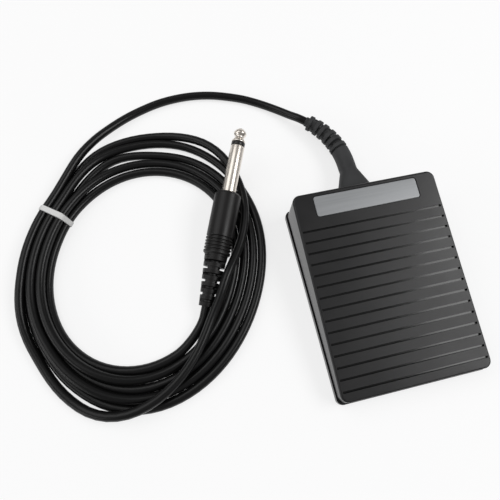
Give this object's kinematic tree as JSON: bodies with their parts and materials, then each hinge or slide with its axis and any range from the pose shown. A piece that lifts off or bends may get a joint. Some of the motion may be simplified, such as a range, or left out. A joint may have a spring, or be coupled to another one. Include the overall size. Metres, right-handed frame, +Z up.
{
  "type": "foot switch",
  "caption": "Small flat foot switch with a ribbed, hinged treadle, a laddered strain relief, and a coiled lead ending in a jack plug.",
  "frame": {"origin": "on the floor, under the middle of the pedal's housing, without its lead", "axes": "+X across the pedal, to the right for a foot pointing at the cable end; +Y towards the cable end; +Z up"},
  "size_m": [0.1898, 0.1637, 0.0214],
  "materials": {
    "housing": "satin, finely textured",
    "moulding": "matt soft PVC",
    "cord": "satin PVC",
    "rubber": "matt",
    "plate": "brushed, satin",
    "steel": "zinc plated",
    "nickel": "polished nickel",
    "insulator": "gloss",
    "brass": "tinned",
    "switch_case": "matt",
    "plunger": "gloss",
    "wire_red": "satin",
    "wire_white": "satin",
    "tie": "satin"
  },
  "bodies": {
    "base": {"base_pan": "housing", "rubber_feet": "rubber", "hinge_pin": "steel", "stop_pads": "rubber", "spring_left": "steel", "spring_right": "steel", "switch_body": "switch_case", "switch_terminals": "brass", "switch_screws": "steel", "lever_pin": "steel", "wire_red": "wire_red", "wire_white": "wire_white", "cable_clamp": "housing", "clamp_screws": "steel", "cord_inner": "cord", "cable_boot": "moulding", "cord_lead": "cord", "cord_coil": "cord", "cord_tie": "tie", "plug_handle": "moulding", "plug_sleeve": "nickel", "plug_insulator": "insulator", "plug_tip": "nickel"},
    "treadle": {"treadle": "housing", "label_plate": "plate"},
    "lever": {"switch_lever": "steel"},
    "plunger": {"switch_plunger": "plunger"}
  },
  "joints": [
    {"name": "treadle_press", "type": "hinge", "parent": "base", "child": "treadle", "pos_m": [0, -0.0355, 0.0054], "axis": [-1, 0, 0], "range_deg": [0, 1.5], "stiffness_Nm_per_rad": 9.2, "springref_deg": -1.89, "deforming": ["spring_left", "spring_right"]},
    {"name": "lever_turn", "type": "hinge", "parent": "base", "child": "lever", "pos_m": [0, 0.0143, 0.0119], "axis": [-1, 0, 0], "range_deg": [0, 7.61]},
    {"name": "plunger_slide", "type": "slide", "parent": "base", "child": "plunger", "axis": [0, 0, -1], "range_m": [0, 0.00054]}
  ],
  "couplings": [
    {"joint": "lever_turn", "follows": "treadle_press", "ratio": 5.07},
    {"joint": "plunger_slide", "follows": "treadle_press", "m_per_rad": 0.02052}
  ]
}
